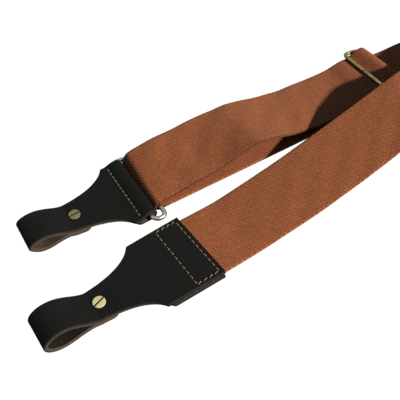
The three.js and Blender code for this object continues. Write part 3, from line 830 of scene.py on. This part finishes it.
def make_back_leather():
    radius = RING["wire"] + GAP + LEATHER / 2
    fold_x = -(radius + LEATHER / 2)
    flap = smooth([[-17, 1.5], [-12.5, 1.5], [-8.2, 1.52], [fold_x, RING["near_z"] - radius]])
    bend = arc(fold_x, RING["near_z"], radius, -90, 90)
    neck = smooth([[fold_x, RING["near_z"] + radius], [-7.6, 7.6], [-12.5, 5.5], [-17, 4.7], [-24, 4.8], [-34, 5.4],
                   [-40, 5.9], [BACK["screw"], TOP_Z], *loop_profile(BACK)])
    profile = upright(resample(np.vstack([flap[:-1], bend, neck[1:]]), 0.6))
    holes = stitch_line_holes()
    on_top = profile[:, 2] > 4
    # the seam lies on a slope, so its holes are pressed into stations a little nearer the fold
    slope, surface_z = 0.55, 6.95
    pits = pitted(holes + [slope, 0], 0.8)

    def shape(x, across, top, s):
        return np.where(on_top[:, None], pits(x, across, top, s), 0)

    def skew(points):
        share = ease((points[..., 0] - BACK_SKEW["start"]) / (BACK_SKEW["end"] - BACK_SKEW["start"]))
        points[..., 1] += BACK_SKEW["y"] * share

    tab, _ = strip("back_leather_end", profile, -level_side(profile), half_width(profile[:, 0], BACK_TAB), LEATHER,
                   [GRAIN, CUT_EDGE, FLESH], columns=72, radius=0.55, arc_steps=3, end=BACK, shape=shape, skew=skew,
                   wide=wide_share(profile, -24, -15), skived=(5, 6))
    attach(tab, "back_end")
    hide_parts("back_leather")
    seam = holes + [0, BACK_SKEW["y"]]
    thread = tube_piece("back_stitches", stitches(seam, surface_z, False), 0.36, THREAD, 12, end=BACK)
    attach(thread, "back_end")
    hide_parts("back_stitch_line")


# ---- metal --------------------------------------------------------------------------------------
def frame_path(near, far, half, corners, butt=0.0, butt_y=0.0, shift=0.0):
    """A rounded rectangle between two bars along Y, at near and far [x, z]. half is half its
    length, and corners are its radii at +Y and -Y."""
    near, far = np.array(near, float), np.array(far, float)
    across = far - near
    length = np.linalg.norm(across)
    across /= length
    outline = [[0, butt_y + butt / 2]] if butt else []
    for is_far, sign, start in ((0, 1, 180), (1, 1, 90), (1, -1, 0), (0, -1, -90)):
        corner = corners[0] if sign > 0 else corners[1]
        cu, cv = length - corner if is_far else corner, sign * (half - corner)
        for angle in np.radians(np.linspace(start, start - 90, 13)):
            outline.append([cu + corner * math.cos(angle), cv + corner * math.sin(angle)])
    if butt:
        outline.append([0, butt_y - butt / 2])
    outline = np.array(outline)
    x, z = (near[k] + outline[:, 0] * across[k] for k in (0, 1))
    return np.column_stack([x, outline[:, 1] + shift, z])


def rounded_tube_ends(path, radius, bevel=0.25):
    """The path with short extra stations at its ends, and the radius at each, for rounded ends."""
    path = np.asarray(path, float)
    first, last = path[1] - path[0], path[-2] - path[-1]
    first, last = first / np.linalg.norm(first), last / np.linalg.norm(last)
    extra = [0, bevel * 0.3, bevel]
    shrink = [radius - bevel, radius - bevel * 0.3, radius]
    p = np.vstack([[path[0] + first * e for e in extra], path[1:-1], [path[-1] + last * e for e in extra[::-1]]])
    r = np.concatenate([shrink, np.full(len(path) - 2, radius), shrink[::-1]])
    return p, r


def make_ring_and_slider():
    near, far = (RING_NEAR, RING["near_z"]), (RING_FAR, RING["far_z"])
    path = frame_path(near, far, RING["half"], RING["corners"], shift=RING["shift"])
    ring = tube_piece("ring_wire", [path], RING["wire"], NICKEL, 28, closed=True, end=BACK_WEB, sharp=80)
    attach(ring, "ring")
    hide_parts("ring")
    path = frame_path(SLIDER["near"], SLIDER["far"], SLIDER["half"], SLIDER["corners"],
                      SLIDER["butt"], SLIDER["butt_y"])
    path, radii = rounded_tube_ends(path, SLIDER["wire"])
    slider = tube_piece("slider_wire", [path], radii, SLIDER_METAL, 28, end=BACK_WEB, sharp=80)
    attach(slider, "adjuster")
    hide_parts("slider")
    holes = np.array([[207.0, y] for y in np.linspace(-21.5, 21.5, 12)])
    # 6.62 is the webbing's middle height at the seam
    seam = stitches(holes, 6.62 + WEB_THICK / 2, False, 0.25, 0.4, 0.25)
    thread = tube_piece("sewn_end_stitches", seam, 0.3, THREAD, 10, end=BACK_WEB)
    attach(thread, "adjuster")
    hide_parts("sewn_end_thread")


def make_screw(prefix, end, material, slot_shade_look, screw_body, post_body):
    """A two-part leather screw: a slotted screw in a barrel with a head of its own."""
    head, low, high, shank = SCREW["head"], SCREW["low"], SCREW["high"], SCREW["shank"]
    outline = [[0, 2.2], [shank - 0.2, 2.2], [shank, 2.4], [shank, low]]
    outline += [[head - 0.25, low], [head, low + 0.2], [head, high - 0.3], [head - 0.1, high - 0.12]]
    outline += [[head - 0.3, high - 0.03], [head - 0.6, high], [2.4, high], [0, high]]
    v, faces = lathe(outline)
    v[:, 0] += end["screw"]
    screw = make_outward(mesh_piece(f"{prefix}_slotted_screw", place(v, end), faces, [material], sharp=32))
    a = math.radians(end["slot_turn"])
    slot = SCREW["slot_half"]
    box = np.array([[x, y, z] for x in (-6, 6) for y in (-slot, slot) for z in (high - SCREW["slot_deep"], high + 1)])
    box = np.column_stack([
        box[:, 0] * math.cos(a) - box[:, 1] * math.sin(a) + end["screw"],
        box[:, 0] * math.sin(a) + box[:, 1] * math.cos(a),
        box[:, 2],
    ])
    quads = [[0, 1, 3, 2], [4, 6, 7, 5], [0, 4, 5, 1], [2, 3, 7, 6], [0, 2, 6, 4], [1, 5, 7, 3]]
    cutter = make_outward(mesh_piece(f"{prefix}_slot_cutter", place(box, end), quads, [material, slot_shade_look]))
    # the slot's faces take the dark slot colour: painted shade
    screw.data.materials.append(slot_shade_look)
    cutter.data.polygons.foreach_set("material_index", [1] * len(quads))
    cut(screw, cutter)
    screw.data.set_sharp_from_angle(angle=math.radians(32))
    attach(screw, screw_body)
    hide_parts(f"{prefix}_screw")
    low, head_top, barrel, top, bore = (POST[key] for key in ("low", "head_top", "barrel", "barrel_top", "bore"))
    outline = [[0, low], [head - 0.6, low], [head - 0.2, low + 0.15], [head, low + 0.5], [head, head_top - 0.15]]
    outline += [[head - 0.15, head_top], [barrel, head_top], [barrel, top - 0.2], [barrel - 0.2, top]]
    outline += [[bore, top], [bore, POST["bore_from"]], [0, POST["bore_from"]]]
    v, faces = lathe(outline)
    v[:, 0] += end["screw"]
    post = make_outward(mesh_piece(f"{prefix}_post_barrel", place(v, end), faces, [material], sharp=32))
    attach(post, post_body)
    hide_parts(f"{prefix}_screw_post")


# ---- stage --------------------------------------------------------------------------------------
def make_camera():
    """Looks down at 51.5 degrees, turned 34 degrees from +Y towards +X."""
    turn, pitch = math.radians(34), math.radians(51.5)
    forward = Vector((math.sin(turn) * math.cos(pitch), math.cos(turn) * math.cos(pitch), -math.sin(pitch)))
    right = Vector((math.cos(turn), -math.sin(turn), 0))
    up = right.cross(forward)
    data = bpy.data.cameras.new("camera")
    data.lens, data.sensor_width = 50.4, 36
    data.clip_start = 0.01
    camera = bpy.data.objects.new("camera", data)
    bpy.context.scene.collection.objects.link(camera)
    basis = Matrix((right, up, -forward)).transposed().to_4x4()
    camera.matrix_world = Matrix.Translation(Vector(place([[-112, -167, 305.8]])[0])) @ basis
    bpy.context.scene.camera = camera


def make_light():
    """Low light from the picture's lower right, and a weak even fill."""
    elevation, across, along = math.radians(31), 0.601, 0.799
    towards = Vector((across * math.cos(elevation), -along * math.cos(elevation), math.sin(elevation)))
    sun = bpy.data.lights.new("key", "SUN")
    sun.energy, sun.angle = 5.2, math.radians(3)
    sun.color = (1, 0.985, 0.96)
    key = bpy.data.objects.new("key", sun)
    key.rotation_euler = towards.to_track_quat("Z", "Y").to_euler()
    bpy.context.scene.collection.objects.link(key)
    world = bpy.data.worlds.new("studio")
    world.use_nodes = True
    bpy.context.scene.world = world
    tree = world.node_tree
    fill = tree.nodes["Background"]
    fill.inputs["Color"].default_value = (0.4, 0.68, 1, 1)
    fill.inputs["Strength"].default_value = 0.2
    # metal reflects a brighter studio, and the camera sees a white one
    ray = tree.nodes.new("ShaderNodeLightPath")
    shader = fill.outputs[0]
    for which, strength in (("Is Glossy Ray", 0.5), ("Is Camera Ray", 1.05)):
        seen = tree.nodes.new("ShaderNodeBackground")
        seen.inputs["Color"].default_value = (1, 1, 1, 1)
        seen.inputs["Strength"].default_value = strength
        mix = tree.nodes.new("ShaderNodeMixShader")
        tree.links.new(ray.outputs[which], mix.inputs[0])
        tree.links.new(shader, mix.inputs[1])
        tree.links.new(seen.outputs[0], mix.inputs[2])
        shader = mix.outputs[0]
    tree.links.new(shader, tree.nodes["World Output"].inputs["Surface"])
    bpy.context.scene.view_settings.view_transform = "Standard"


def make_floor():
    size, z = 4.0, -0.0003
    me = bpy.data.meshes.new("floor")
    me.from_pydata([(-size, -size, z), (size, -size, z), (size, size, z), (-size, size, z)], [], [(0, 1, 2, 3)])
    m = bpy.data.materials.new("floor")
    m.use_nodes = True
    tree = m.node_tree
    tree.nodes.remove(tree.nodes["Principled BSDF"])
    # white to the camera, and dim to the object, so that its shaded sides stay dark
    glow = tree.nodes.new("ShaderNodeEmission")
    glow.inputs["Color"].default_value = (1, 1, 1, 1)
    ray = tree.nodes.new("ShaderNodeLightPath")
    level = tree.nodes.new("ShaderNodeMapRange")
    level.inputs["To Min"].default_value = 0.07
    level.inputs["To Max"].default_value = 1.05
    tree.links.new(ray.outputs["Is Camera Ray"], level.inputs["Value"])
    tree.links.new(level.outputs[0], glow.inputs["Strength"])
    tree.links.new(glow.outputs[0], tree.nodes["Material Output"].inputs["Surface"])
    me.materials.append(m)
    floor = bpy.data.objects.new("floor", me)
    bpy.context.scene.collection.objects.link(floor)


make_camera()
make_light()
make_floor()
make_webbing()
make_front_leather()
make_back_leather()
make_ring_and_slider()
make_screw("front", FRONT, BRASS, SLOT_SHADE, "front_screw", "front_post")
make_screw("back", BACK, OLD_BRASS, OLD_SLOT_SHADE, "back_screw", "back_post")
